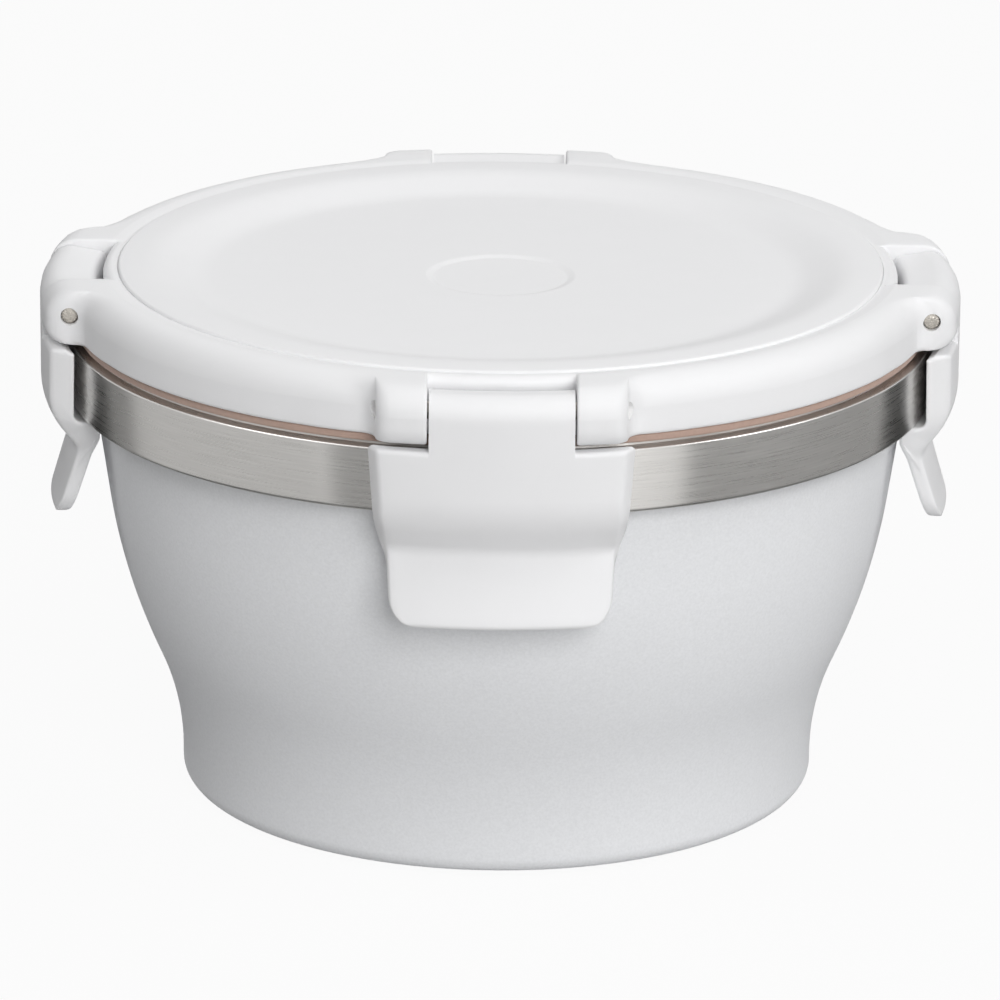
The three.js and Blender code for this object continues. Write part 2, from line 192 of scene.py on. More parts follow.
class LidSizes(PropertyGroup):
    """Sizes of the lid frame, its panel and its gasket."""

    seat: length("Seat", GASKET_HIGH.z + 0.3 * MM, "Height of the skirt's lower edge")
    spigot_bottom: length("Spigot bottom", FRAME_LOW.z, "Height of the spigot's underside")
    spigot_radius: length("Spigot radius", GASKET_HIGH.x - 10.2 * MM, "Radius of the spigot in the bowl")
    floor: length("Lid floor", 2 * MM, "Thickness of the floor above the spigot")
    groove: length("Groove", 93 * MM, "Height of the groove round the panel")
    shoulder: length("Shoulder", PANEL_HIGH.z - 0.05 * MM, "Height of the ring round the groove")
    shoulder_rise: length("Shoulder rise", 2.6 * MM, "Width of the rise from the groove to the shoulder")
    shoulder_round: length("Shoulder round", 4.8 * MM, "Radius between the shoulder and the skirt")
    skirt_radius: length("Skirt radius", BAND_HIGH.x - 0.2 * MM, "Outer radius of the skirt")
    skirt_edge: length("Skirt edge", 0.7 * MM, "Radius of the skirt's lower edge")
    panel_radius: length("Panel radius", PANEL_HIGH.x, "Outer radius of the dished panel")
    panel_top: length("Panel top", PANEL_HIGH.z, "Height of the panel's raised edge")
    panel_seat: length("Panel seat", 90.9 * MM, "Height of the ledge that carries the panel")
    panel_ledge: length("Panel ledge", 3 * MM, "Width of the ledge that carries the panel")
    panel_edge: length("Panel edge", 0.5 * MM, "Radius of the panel's outer edge")
    panel_thickness: length("Panel thickness", 2 * MM, "Thickness of the panel's floor")
    panel_gap: length("Panel gap", 0.03 * MM, "Joint between the panel and the frame")
    land_width: length("Land width", 6.3 * MM, "Width of the flat ring at the panel's edge")
    slope_width: length("Slope width", 8 * MM, "Width of the slope into the dish")
    slope_round: length("Slope round", 14 * MM, "Radius at the top and bottom of the slope")
    dish_depth: length("Dish depth", 2.45 * MM, "Depth of the dish below the panel's edge")
    disc_radius: length("Disc radius", 13 * MM, "Radius of the round recess in the middle")
    disc_recess: length("Disc recess", 0.35 * MM, "Depth of the round recess")
    disc_slope: length("Disc slope", 1.3 * MM, "Width of the slope into the round recess")
    gasket_radius: length("Gasket radius", GASKET_HIGH.x - 0.3 * MM, "Outer radius of the gasket")
    gasket_width: length("Gasket width", 9 * MM, "Width of the gasket's ring")
    gasket_edge: length("Gasket edge", 0.5 * MM, "Radius of the gasket's edges")
    lug_half_width: length("Lug half width", 20.8 * MM, "Middle of a latch to the end of a lug")
    lug_bottom: length("Lug bottom", 83.7 * MM, "Height of a lug's underside")
    lug_round: length("Lug round", 5.2 * MM, "Radius over the top of a lug")
    lug_foot_round: length("Lug foot round", 2.8 * MM, "Radius below a lug's face")
    lug_edge: length("Lug edge", 0.5 * MM, "Radius of a lug's edges beside the latch")
    lug_end_edge: length("Lug end edge", 2.4 * MM, "Radius of the edge at a lug's outer end")
    lug_plan: length("Lug plan", 93 * MM, "Radius of a lug's face, seen from above")
    lug_fillet: length("Lug fillet", 2.2 * MM, "Width of the hollow between a lug and the skirt, below")
    lug_flare: length("Lug flare", 9.5 * MM, "Width of the hollow between a lug and the shoulder, above")
    notch_half_width: length("Notch half width", 12.3 * MM, "Half the width between a latch's lugs")
    notch_depth: length("Notch depth", 5.1 * MM, "Hinge axis to the wall behind the latch's tongue")
    notch_lip: length("Notch lip", 1.8 * MM, "Hinge axis to the lip below the latch's tongue")
    notch_edge: length("Notch edge", 1.4 * MM, "Radius of the notch's upper edge")
    notch_foot: length("Notch foot", 3.4 * MM, "Radius of the hollow at the notch's foot")
    pin_hole: length("Pin hole", 1.54 * MM, "Radius of the holes that hold the pin")


class LatchSizes(PropertyGroup):
    """Sizes of a latch and its hinge pin."""

    hinge_radius: length("Hinge radius", -(PIN_LOW.y + PIN_HIGH.y) / 2, "Bowl's axis to the hinge axis")
    hinge_height: length("Hinge height", (PIN_LOW.z + PIN_HIGH.z) / 2, "Height of the hinge axis")
    pin_radius: length("Pin radius", (PIN_HIGH.z - PIN_LOW.z) / 2, "Radius of the hinge pin")
    pin_reach: length("Pin reach", PIN_HIGH.x, "Half the length of the hinge pin")
    pin_edge: length("Pin edge", 0.25 * MM, "Radius of the pin's end edge")
    spline_depth: length("Spline depth", 0.12 * MM, "Depth of the splines at the pin's ends")
    spline_reach: length("Spline reach", 6 * MM, "Length of the splined ends")
    bore_radius: length("Bore radius", 1.72 * MM, "Radius of the tongue's bore on the pin")
    face_radius: length("Face radius", -LATCH_LOW.y, "Bowl's axis to the latch's outer face")
    slot_radius: length("Slot radius", BAND_HIGH.x + 1.2 * MM, "Bowl's axis to the face behind the flap")
    shoulder: length("Latch shoulder", 83.05 * MM, "Height of the flap's upper edge")
    shoulder_edge: length("Shoulder edge", 0.8 * MM, "Radius of the flap's upper edge")
    relief_width: length("Relief width", 1.3 * MM, "Width of the bevel that clears the lugs")
    relief_drop: length("Relief drop", 0.7 * MM, "Depth of the bevel that clears the lugs")
    flap_half_width: length("Flap half width", 22.5 * MM, "Half the flap's width at its upper edge")
    bend_half_width: length("Bend half width", 21.6 * MM, "Half the latch's width where its face turns in")
    waist_half_width: length("Waist half width", 20.6 * MM, "Half the latch's width above the crease")
    tab_half_width: length("Tab half width", 19.15 * MM, "Half the tab's width below the crease")
    tab_foot_half_width: length("Tab foot", 18.75 * MM, "Half the tab's width above its round corners")
    draft: length("Draft", 1.85 * MM, "How far the flap's sides lean in towards its face")
    bend: length("Bend", 71.1 * MM, "Height where the flap's face turns in")
    bend_round: length("Bend round", 10 * MM, "Radius of the bend below the flap's face")
    crease: length("Crease", 64.6 * MM, "Height of the crease above the tab")
    crease_depth: length("Crease depth", 5.02 * MM, "Depth of the crease behind the flap's face")
    crease_round: length("Crease round", 2.3 * MM, "Radius in the crease")
    tab_corner: length("Tab corner", 4.8 * MM, "Radius of the tab's lower corners")
    tab_tip: length("Tab tip", LATCH_LOW.z - 1.15 * MM, "Height of the tab's lower edge")
    tab_lean: length("Tab lean", 3.85 * MM, "How far the tab stands out from the crease at its tip")
    tab_thickness: length("Tab thickness", 2.6 * MM, "Level thickness of the tab at its tip")
    tip_slant: length("Tip slant", 0.8 * MM, "How much higher the tip's inner edge is than its outer edge")
    tip_round: length("Tip round", 1.5 * MM, "Radius of the tab's lower edges")
    hook_radius: length("Hook radius", BAND_HIGH.x - 3.2 * MM, "Bowl's axis to the end of the hook")
    hook_gap: length("Hook gap", 0.6 * MM, "Gap between the hook and the band")
    hook_thickness: length("Hook thickness", 3.1 * MM, "Height of the hook's end")
    slot_round: length("Slot round", 1.3 * MM, "Radius where the slot meets the hook")
    tongue_half_width: length("Tongue half width", 12 * MM, "Half the width of the tongue on the pin")
    tongue_top: length("Tongue top", 93 * MM, "Height of the tongue's top at its front")
    tongue_fall: length("Tongue fall", 1.8 * MM, "How far the tongue's top falls towards its back")
    tongue_round: length("Tongue round", 3.6 * MM, "Radius over the front of the tongue")
    tongue_back: length("Tongue back", 3.82 * MM, "Hinge axis to the back of the tongue")
    tongue_back_round: length("Tongue back round", 1.6 * MM, "Radius of the tongue's upper back edge")
    hub: length("Hub", 4.9 * MM, "Hinge axis to the underside of the tongue")
    edge: length("Latch edge", 0.8 * MM, "Radius of the latch's side edges")


class BowlFinish(PropertyGroup):
    """Colours of the bowl's materials."""

    powder_coat: colour("Powder coat", "#ECEDEF", "Off-white powder coat of the bowl")
    polypropylene: colour("Polypropylene", "#EFEFF0", "White plastic of the lid and the latches")
    silicone: colour("Silicone", "#B79C8F", "Taupe silicone of the gasket")
    band_steel: colour("Band steel", "#D0CECB", "Brushed steel of the rim band")
    liner_steel: colour("Liner steel", "#C2C1BF", "Satin steel of the liner and the base plate")
    pin_steel: colour("Pin steel", "#BDB8B0", "Drawn steel of the hinge pins")
    seal_glass: colour("Seal glass", "#5E6166", "Sealing glass under the base")
    getter: colour("Getter", "#7A7A7D", "Sintered metal of the getter")
    floor: colour("Floor", "#C4C4C4", "Paper floor")


class BowlStage(PropertyGroup):
    """Camera and studio."""

    camera_x: length("Camera X", -7.1 * MM, "Camera's place to the right of the bowl's axis")
    camera_y: length("Camera Y", -1203.4 * MM, "Camera's place in depth, negative in front of the bowl")
    camera_z: length("Camera Z", 434.9 * MM, "Camera's height above the table")
    azimuth: angle("Azimuth", 0.35, "Camera's turn to the right")
    pitch: angle("Pitch", 17.745, "Camera's tilt down")
    roll: angle("Roll", 0.495, "Camera's roll")
    lens: FloatProperty(
        name="Lens", description="Focal length in millimetres", default=258.9, subtype="DISTANCE_CAMERA")
    floor_radius: length("Floor radius", 2.5, "Radius of the floor")


def rounded(corners, steps=ARC_STEPS, between=0):
    """Points along (across, up, radius) corners: an arc at each inner corner and extra points between."""
    places = [Vector(corner[:2]) for corner in corners]
    halves = [0]
    for before, here, after in zip(places, places[1:], places[2:]):
        halves.append((math.pi - (before - here).angle(after - here, math.pi)) / 2)
    halves.append(0)
    wanted = [corner[2] * math.tan(half) for corner, half in zip(corners, halves)]
    reaches = wanted.copy()
    for at, (before, here) in enumerate(zip(places, places[1:])):
        needed = wanted[at] + wanted[at + 1]
        share = min(1, 0.98 * (here - before).length / needed) if needed else 1
        reaches[at] = min(reaches[at], wanted[at] * share)
        reaches[at + 1] = min(reaches[at + 1], wanted[at + 1] * share)
    path = [places[0]]
    for at in range(1, len(places) - 1):
        here, reach, half = places[at], reaches[at], halves[at]
        back = (places[at - 1] - here).normalized()
        ahead = (places[at + 1] - here).normalized()
        start = here + back * reach
        path += [path[-1].lerp(start, step / (between + 1)) for step in range(1, between + 1)]
        if reach < WELD:
            path += [here.copy() for _ in range(steps + 1)]
            continue
        centre = here + (back + ahead).normalized() * (reach / math.sin(half))
        side = 1 if back.cross(ahead) < 0 else -1
        for step in range(steps + 1):
            path.append(centre + Matrix.Rotation(side * 2 * half * step / steps, 2) @ (start - centre))
    last = path[-1]
    path += [last.lerp(places[-1], step / (between + 1)) for step in range(1, between + 2)]
    return path


def inset(corners, distance):
    """Closed anticlockwise (across, up, radius) corners moved in by a distance, with their radii."""
    moved = []
    for at, corner in enumerate(corners):
        before, after = corners[at - 1], corners[(at + 1) % len(corners)]
        here = Vector(corner[:2])
        along = (here - Vector(before[:2])).normalized()
        onward = (Vector(after[:2]) - here).normalized()
        first, second = Vector((along.y, -along.x)), Vector((onward.y, -onward.x))
        shift = (first + second) * (distance / (1 + first.dot(second)))
        change = -distance if along.cross(onward) > 0 else distance
        moved.append((here.x - shift.x, here.y - shift.y, max(corner[2] + change, 0)))
    return moved


def new_piece(name, points, faces, material):
    """Makes a closed smooth-shaded mesh object, with its doubled points welded."""
    mesh = bpy.data.meshes.new(name)
    mesh.from_pydata(points, [], faces)
    shape = bmesh.new()
    shape.from_mesh(mesh)
    bmesh.ops.remove_doubles(shape, verts=shape.verts, dist=WELD)
    bmesh.ops.dissolve_degenerate(shape, edges=shape.edges, dist=WELD)
    bmesh.ops.recalc_face_normals(shape, faces=shape.faces)
    shape.to_mesh(mesh)
    shape.free()
    shade(mesh)
    mesh.materials.append(material)
    piece = bpy.data.objects.new(name, mesh)
    bpy.context.scene.collection.objects.link(piece)
    return piece


def shade(mesh):
    """Shades a mesh smooth, apart from its sharp edges."""
    mesh.shade_smooth()
    mesh.set_sharp_from_angle(angle=SHARP_ANGLE)


def place(piece, body, slot, *nodes):
    """Lets a piece ride on its body, in place of the solids that it stands for."""
    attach(piece, body)
    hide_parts(*nodes)
    return piece


def strips(columns, closed_ring, closed_rows):
    """Quads between neighbouring columns of points, all columns alike in length."""
    rows = len(columns[0])
    faces = []
    for first in range(len(columns) if closed_ring else len(columns) - 1):
        second = (first + 1) % len(columns)
        for row in range(rows if closed_rows else rows - 1):
            after = (row + 1) % rows
            here, there = first * rows, second * rows
            faces.append((here + row, there + row, there + after, here + after))
    return faces


def turned(name, outline, material):
    """Turns an outline of (radius, height) points about the bowl's axis."""
    on_axis = max(abs(outline[0][0]), abs(outline[-1][0])) < WELD
    columns = []
    for step in range(TURN_SEGMENTS):
        turn = 2 * math.pi * step / TURN_SEGMENTS
        columns.append([(r * math.sin(turn), -r * math.cos(turn), z) for r, z in outline])
    faces = strips(columns, True, not on_axis)
    return new_piece(name, [point for column in columns for point in column], faces, material)


def bored(piece, radius, half_length, turns):
    """Cuts the holes for the hinge pins, and keeps the mesh that is left."""
    latch = bpy.context.scene.latch_sizes
    drills = []
    for turn in turns:
        bpy.ops.mesh.primitive_cylinder_add(vertices=DRILL_SIDES, radius=radius, depth=2 * half_length)
        drill = bpy.context.object
        across = Matrix.Rotation(math.pi / 2, 4, "Y")
        hinge = Matrix.Translation((0, -latch.hinge_radius, latch.hinge_height))
        drill.data.transform(Matrix.Rotation(turn, 4, "Z") @ hinge @ across)
        cut = piece.modifiers.new("pin_bore", "BOOLEAN")
        cut.operation = "DIFFERENCE"
        cut.solver = "EXACT"
        cut.object = drill
        drills.append(drill)
    finished = piece.evaluated_get(bpy.context.evaluated_depsgraph_get())
    piece.data = bpy.data.meshes.new_from_object(finished)
    piece.modifiers.clear()
    for drill in drills:
        bpy.data.objects.remove(drill)
    shade(piece.data)


def wall_radius(sizes, height, depth):
    """Radius of the bowl's wall at a height, moved in by a depth along the wall's normal."""
    cove_centre = sizes.foot_radius + sizes.cove_radius
    cove = sizes.cove_radius + depth
    hip = sizes.hip_radius - depth
    bends = sizes.cove_radius + sizes.hip_radius
    hip_centre = cove_centre - bends * math.cos(sizes.flare)
    hip_height = sizes.foot_height + bends * math.sin(sizes.flare)
    cove_end = sizes.foot_height + cove * math.sin(sizes.flare)
    hip_end = hip_height - hip * math.sin(sizes.cone)
    if height <= sizes.foot_height:
        return sizes.foot_radius - depth
    if height <= cove_end:
        return cove_centre - math.sqrt(cove ** 2 - (height - sizes.foot_height) ** 2)
    if height <= hip_end:
        return hip_centre + math.sqrt(hip ** 2 - (hip_height - height) ** 2)
    return hip_centre + hip * math.cos(sizes.cone) + (height - hip_end) * math.tan(sizes.cone)


def wall(sizes, depth, low, high):
    """Points up the bowl's wall, from one height to another."""
    heights = [low + (high - low) * step / WALL_STEPS for step in range(WALL_STEPS + 1)]
    return [(wall_radius(sizes, height, depth), height) for height in heights]


def add_node(tree, kind, sockets=None, **settings):
    """Adds a node with its settings, and fills its sockets with values or with other nodes' outputs."""
    made = tree.nodes.new(kind)
    for key, value in settings.items():
        setattr(made, key, value)
    for key, value in (sockets or {}).items():
        if isinstance(value, bpy.types.NodeSocket):
            tree.links.new(value, made.inputs[key])
        else:
            made.inputs[key].default_value = value
    return made


def new_material(name):
    """An empty node material, with its tree, its output and the object's own coordinates in metres."""
    material = bpy.data.materials.new(name)
    material.use_nodes = True
    tree = material.node_tree
    tree.nodes.clear()
    output = add_node(tree, "ShaderNodeOutputMaterial")
    where = add_node(tree, "ShaderNodeTexCoord").outputs["Object"]
    return material, tree, output, where


def shades(tint, spread):
    """Two colours a little darker and lighter than a tint, for a ramp."""
    darker = [part * (1 - spread) for part in tint]
    lighter = [min(part * (1 + spread), 1) for part in tint]
    return (*darker, 1), (*lighter, 1)


def tint_ramp(tree, factor, tint, spread):
    """A pattern's colour, between two near shades of a tint."""
    ramp = add_node(tree, "ShaderNodeValToRGB", {"Fac": factor})
    ramp.color_ramp.elements[0].position = 0.3
    ramp.color_ramp.elements[1].position = 0.7
    ramp.color_ramp.elements[0].color, ramp.color_ramp.elements[1].color = shades(tint, spread)
    return ramp.outputs["Color"]


def cover(tree, output, sockets):
    """Ends a material with one principled surface."""
    shader = add_node(tree, "ShaderNodeBsdfPrincipled", sockets)
    tree.links.new(shader.outputs["BSDF"], output.inputs["Surface"])


def seen_directly(tree):
    """One where the camera, a reflection or a view through glass sees the surface, and nought elsewhere."""
    path = add_node(tree, "ShaderNodeLightPath")
    seen = path.outputs["Is Camera Ray"]
    for ray in ("Is Glossy Ray", "Is Transmission Ray"):
        either = add_node(tree, "ShaderNodeMath", {0: seen, 1: path.outputs[ray]}, operation="MAXIMUM")
        seen = either.outputs["Value"]
    return seen


def powder_coat(tint):
    """Polyester powder baked on steel: a matte skin with a fine grain of fused powder, which gives an even
    sheen with faint speckle. The real grain of about 0.2 mm is drawn at 0.5 mm so that it shows."""
    grain = 0.5 * MM
    material, tree, output, where = new_material("powder_coated_steel")
    fine = add_node(tree, "ShaderNodeTexNoise", {
        "Vector": where, "Scale": 1 / grain, "Detail": 2, "Roughness": 0.6})
    rough = add_node(tree, "ShaderNodeMapRange", {
        "Value": fine.outputs["Fac"], "From Min": 0.3, "From Max": 0.7, "To Min": 0.62, "To Max": 0.76})
    bump = add_node(tree, "ShaderNodeBump", {
        "Height": fine.outputs["Fac"], "Strength": 0.35, "Distance": 0.06 * MM})
    cover(tree, output, {
        "Base Color": tint_ramp(tree, fine.outputs["Fac"], tint, 0.035), "Roughness": rough.outputs["Result"],
        "IOR": 1.5, "Normal": bump.outputs["Normal"]})
    return material


def white_polypropylene(tint):
    """Injection-moulded polypropylene from a finely eroded mould: a soft satin white with a barely visible
    texture and slight flow mottling."""
    texture = 0.35 * MM
    mottle = 14 * MM
    material, tree, output, where = new_material("moulded_polypropylene")
    fine = add_node(tree, "ShaderNodeTexNoise", {"Vector": where, "Scale": 1 / texture, "Detail": 2})
    broad = add_node(tree, "ShaderNodeTexNoise", {"Vector": where, "Scale": 1 / mottle, "Detail": 2})
    rough = add_node(tree, "ShaderNodeMapRange", {
        "Value": broad.outputs["Fac"], "From Min": 0.3, "From Max": 0.7, "To Min": 0.6, "To Max": 0.68})
    bump = add_node(tree, "ShaderNodeBump", {
        "Height": fine.outputs["Fac"], "Strength": 0.12, "Distance": 0.02 * MM})
    cover(tree, output, {
        "Base Color": tint_ramp(tree, broad.outputs["Fac"], tint, 0.008),
        "Roughness": rough.outputs["Result"], "IOR": 1.49, "Normal": bump.outputs["Normal"]})
    return material


def brushed_steel(name, tint, low_roughness, high_roughness, streak_width):
    """Stainless steel brushed while it turns: hair lines that run round the bowl and draw each reflection
    out upwards. Real lines of about 0.05 mm are drawn at the given width so that they show."""
    streak_length = 16 * MM
    ring = BAND_HIGH.x
    material, tree, output, where = new_material(name)
    axes = add_node(tree, "ShaderNodeSeparateXYZ", {"Vector": where})
    turn = add_node(tree, "ShaderNodeMath", {0: axes.outputs["Y"], 1: axes.outputs["X"]}, operation="ARCTAN2")
    flat = add_node(tree, "ShaderNodeVectorMath", {0: where, 1: (1, 1, 0)}, operation="MULTIPLY")
    reach = add_node(tree, "ShaderNodeVectorMath", {0: flat.outputs["Vector"]}, operation="LENGTH")
    slant = add_node(tree, "ShaderNodeMath", {
        0: axes.outputs["Z"], 1: reach.outputs["Value"]}, operation="ADD")
    place_round = add_node(tree, "ShaderNodeMath", {
        0: turn.outputs["Value"], 1: ring / streak_length}, operation="MULTIPLY")
    place_up = add_node(tree, "ShaderNodeMath", {
        0: slant.outputs["Value"], 1: 1 / streak_width}, operation="MULTIPLY")
    grain = add_node(tree, "ShaderNodeCombineXYZ", {
        "X": place_round.outputs["Value"], "Y": place_up.outputs["Value"]})
    lines = add_node(tree, "ShaderNodeTexNoise", {
        "Vector": grain.outputs["Vector"], "Scale": 1, "Detail": 4, "Roughness": 0.65})
    rough = add_node(tree, "ShaderNodeMapRange", {
        "Value": lines.outputs["Fac"], "From Min": 0.3, "From Max": 0.7,
        "To Min": low_roughness, "To Max": high_roughness})
    bump = add_node(tree, "ShaderNodeBump", {
        "Height": lines.outputs["Fac"], "Strength": 0.12, "Distance": 0.02 * MM})
    tangent = add_node(tree, "ShaderNodeTangent", direction_type="RADIAL", axis="Z")
    cover(tree, output, {
        "Base Color": tint_ramp(tree, lines.outputs["Fac"], tint, 0.07), "Metallic": 1,
        "Roughness": rough.outputs["Result"], "Anisotropic": 0.75, "Anisotropic Rotation": 0.25,
        "Normal": bump.outputs["Normal"], "Tangent": tangent.outputs["Tangent"]})
    return material


def taupe_silicone(tint):
    """Moulded silicone rubber: matte and slightly dusty, with a soft sheen at its edges. Real dust is finer
    and is drawn at 0.8 mm so that it shows."""
    dust = 0.8 * MM
    material, tree, output, where = new_material("moulded_silicone")
    fine = add_node(tree, "ShaderNodeTexNoise", {"Vector": where, "Scale": 1 / dust, "Detail": 3})
    bump = add_node(tree, "ShaderNodeBump", {
        "Height": fine.outputs["Fac"], "Strength": 0.2, "Distance": 0.03 * MM})
    cover(tree, output, {
        "Base Color": tint_ramp(tree, fine.outputs["Fac"], tint, 0.04), "Roughness": 0.6, "IOR": 1.41,
        "Sheen Weight": 0.15, "Sheen Roughness": 0.5, "Normal": bump.outputs["Normal"]})
    return material


def drawn_steel(tint):
    """Drawn steel wire, sheared to length: bright, with pits and torn marks on the sheared ends."""
    pits = 0.35 * MM
    material, tree, output, where = new_material("drawn_steel_pin")
    torn = add_node(tree, "ShaderNodeTexNoise", {
        "Vector": where, "Scale": 1 / pits, "Detail": 4, "Roughness": 0.7})
    bump = add_node(tree, "ShaderNodeBump", {
        "Height": torn.outputs["Fac"], "Strength": 0.8, "Distance": 0.15 * MM})
    cover(tree, output, {
        "Base Color": tint_ramp(tree, torn.outputs["Fac"], tint, 0.25), "Metallic": 1, "Roughness": 0.35,
        "Normal": bump.outputs["Normal"]})
    return material


def dull_grains(name, tint, grain, metallic, roughness):
    """A dull, granular body: fused sealing glass or sintered metal, with grains that catch the light."""
    material, tree, output, where = new_material(name)
    cells = add_node(tree, "ShaderNodeTexVoronoi", {"Vector": where, "Scale": 1 / grain})
    bump = add_node(tree, "ShaderNodeBump", {
        "Height": cells.outputs["Distance"], "Strength": 0.4, "Distance": 0.1 * grain})
    cover(tree, output, {
        "Base Color": tint_ramp(tree, cells.outputs["Distance"], tint, 0.12), "Metallic": metallic,
        "Roughness": roughness, "Normal": bump.outputs["Normal"]})
    return material


def seamless_paper(tint):
    """Matte studio paper, white where the camera or a reflection sees it, with the object's shadow kept."""
    material, tree, output, _ = new_material("seamless_paper")
    white_share = add_node(tree, "ShaderNodeMath", {
        0: seen_directly(tree), 1: WHITE_SHARE}, operation="MULTIPLY")
    paper = add_node(tree, "ShaderNodeBsdfDiffuse", {"Color": (*tint, 1)})
    white = add_node(tree, "ShaderNodeEmission", {"Color": (1, 1, 1, 1), "Strength": 1})
    mixed = add_node(tree, "ShaderNodeMixShader", {
        0: white_share.outputs["Value"], 1: paper.outputs["BSDF"], 2: white.outputs["Emission"]})
    tree.links.new(mixed.outputs["Shader"], output.inputs["Surface"])
    return material


def plain_card(name, grey):
    """Evenly lit card, which a polished surface mirrors as a flat tone."""
    material, tree, output, _ = new_material(name)
    glow = add_node(tree, "ShaderNodeEmission", {"Color": (*linear(grey), 1), "Strength": 1})
    tree.links.new(glow.outputs["Emission"], output.inputs["Surface"])
    return material


class BOWL_OT_outer_shell(Operator):
    """Turn the powder-coated outer wall with its rolled foot"""

    bl_idname = "bowl.outer_shell"
    bl_label = "Outer shell"

    def execute(self, context):
        sizes = context.scene.bowl_sizes
        finish = context.scene.bowl_finish
        top = sizes.rim_height - sizes.band_sheet
        flange = sizes.foot_radius - sizes.flange_width
        standing = sizes.foot_radius - sizes.foot_slope
        foot = rounded([
            (flange, 0, 0),
            (standing, 0, sizes.foot_edge),
            (sizes.foot_radius, sizes.foot_lift, sizes.foot_edge),
            (sizes.foot_radius, sizes.foot_height, 0)], steps=8)
        inner_foot = rounded([
            (sizes.foot_radius - sizes.sheet, sizes.foot_height, 0),
            (sizes.foot_radius - sizes.sheet, sizes.foot_lift + sizes.sheet, sizes.foot_edge - sizes.sheet),
            (standing, sizes.sheet, sizes.foot_edge - sizes.sheet),
            (flange, sizes.sheet, 0)], steps=8)
        outline = [
            *foot,
            *wall(sizes, 0, sizes.foot_height, top)[1:],
            *reversed(wall(sizes, sizes.sheet, sizes.foot_height, top)[1:]),
            *inner_foot]
        shell = turned("powder_coated_shell", outline, powder_coat(finish.powder_coat))
        place(shell, "bowl", "powder_coat", "outer_shell")
        return {"FINISHED"}


class BOWL_OT_liner(Operator):
    """Turn the satin steel liner that holds the food"""

    bl_idname = "bowl.liner"
    bl_label = "Liner"

    def execute(self, context):
        sizes = context.scene.bowl_sizes
        finish = context.scene.bowl_finish
        depth = sizes.sheet + sizes.vacuum_gap
        outline = [
            *self.side(sizes, depth, LINER_LOW.z),
            *reversed(self.side(sizes, depth + sizes.sheet, LINER_LOW.z + sizes.sheet))]
        steel = brushed_steel("satin_liner_steel", finish.liner_steel, 0.3, 0.42, 0.5 * MM)
        place(turned("steel_liner", outline, steel), "bowl", "liner_steel", "inner_liner")
        return {"FINISHED"}

    def side(self, sizes, depth, floor):
        start = floor + sizes.liner_corner
        foot = wall_radius(sizes, floor, depth)
        corner = rounded([
            (0, floor, 0),
            (foot, floor, sizes.liner_corner),
            (wall_radius(sizes, start, depth), start, 0)], steps=10)
        return [*corner, *wall(sizes, depth, start, sizes.rim_height)[1:]]


class BOWL_OT_base(Operator):
    """Turn the base plate, its seal bead and the getter inside"""

    bl_idname = "bowl.base"
    bl_label = "Base"

    def execute(self, context):
        sizes = context.scene.bowl_sizes
        finish = context.scene.bowl_finish
        rim = PLATE_HIGH.x
        dish = rim - sizes.plate_rim
        low, high = PLATE_LOW.z, PLATE_LOW.z + sizes.plate_rise
        bend = 1.5 * MM
        under = rounded([
            (0, high, 0), (dish - sizes.plate_rise, high, bend), (dish, low, bend), (rim, low, 0)])
        over = rounded([
            (rim, low + sizes.sheet, 0), (dish, low + sizes.sheet, bend),
            (dish - sizes.plate_rise, high + sizes.sheet, bend), (0, high + sizes.sheet, 0)])
        steel = brushed_steel("satin_base_steel", finish.liner_steel, 0.34, 0.46, 0.6 * MM)
        place(turned("steel_base_plate", [*under, *over], steel), "bowl", "base_steel", "base_plate")
        bead = rounded([
            (0, BEAD_LOW.z, 0), (BEAD_HIGH.x, BEAD_LOW.z, BEAD_ROUND),
            (BEAD_HIGH.x, BEAD_HIGH.z, 0), (0, BEAD_HIGH.z, 0)])
        glass = dull_grains("sealing_glass", finish.seal_glass, 0.8 * MM, 0, 0.25)
        place(turned("vacuum_seal", bead, glass), "bowl", "seal_glass", "vacuum_seal_bead")
        getter = rounded([
            (0, GETTER_LOW.z, 0), (GETTER_HIGH.x, GETTER_LOW.z, SMALL_ROUND),
            (GETTER_HIGH.x, GETTER_HIGH.z, SMALL_ROUND), (0, GETTER_HIGH.z, 0)])
        sintered = dull_grains("sintered_getter", finish.getter, 0.3 * MM, 1, 0.6)
        place(turned("getter_pellet", getter, sintered), "bowl", "getter_metal", "getter_disc")
        return {"FINISHED"}


class BOWL_OT_band(Operator):
    """Turn the brushed steel rim band that the latches hook under"""

    bl_idname = "bowl.band"
    bl_label = "Rim band"

    def execute(self, context):
        sizes = context.scene.bowl_sizes
        finish = context.scene.bowl_finish
        low, high = sizes.band_bottom, sizes.rim_height
        lower_lip = wall_radius(sizes, low + sizes.band_sheet, 0)
        upper_lip = wall_radius(sizes, high, sizes.sheet + sizes.vacuum_gap)
        neck = sizes.band_radius - sizes.band_step
        inside = neck - sizes.band_sheet
        outline = rounded([
            (lower_lip, low, 0),
            (sizes.band_radius, low, sizes.band_low_edge),
            (sizes.band_radius, high - sizes.band_neck, sizes.band_top_edge),
            (neck, high - sizes.band_neck, FINE_ROUND),
            (neck, high, FINE_ROUND),
            (upper_lip, high, 0)], steps=8)
        outline += [
            (upper_lip, high - sizes.band_sheet), (inside, high - sizes.band_sheet),
            (inside, low + sizes.band_sheet), (lower_lip, low + sizes.band_sheet)]
        steel = brushed_steel("brushed_band_steel", finish.band_steel, 0.24, 0.36, 0.32 * MM)
        place(turned("brushed_rim_band", outline, steel), "bowl", "band_steel", "rim_band")
        return {"FINISHED"}


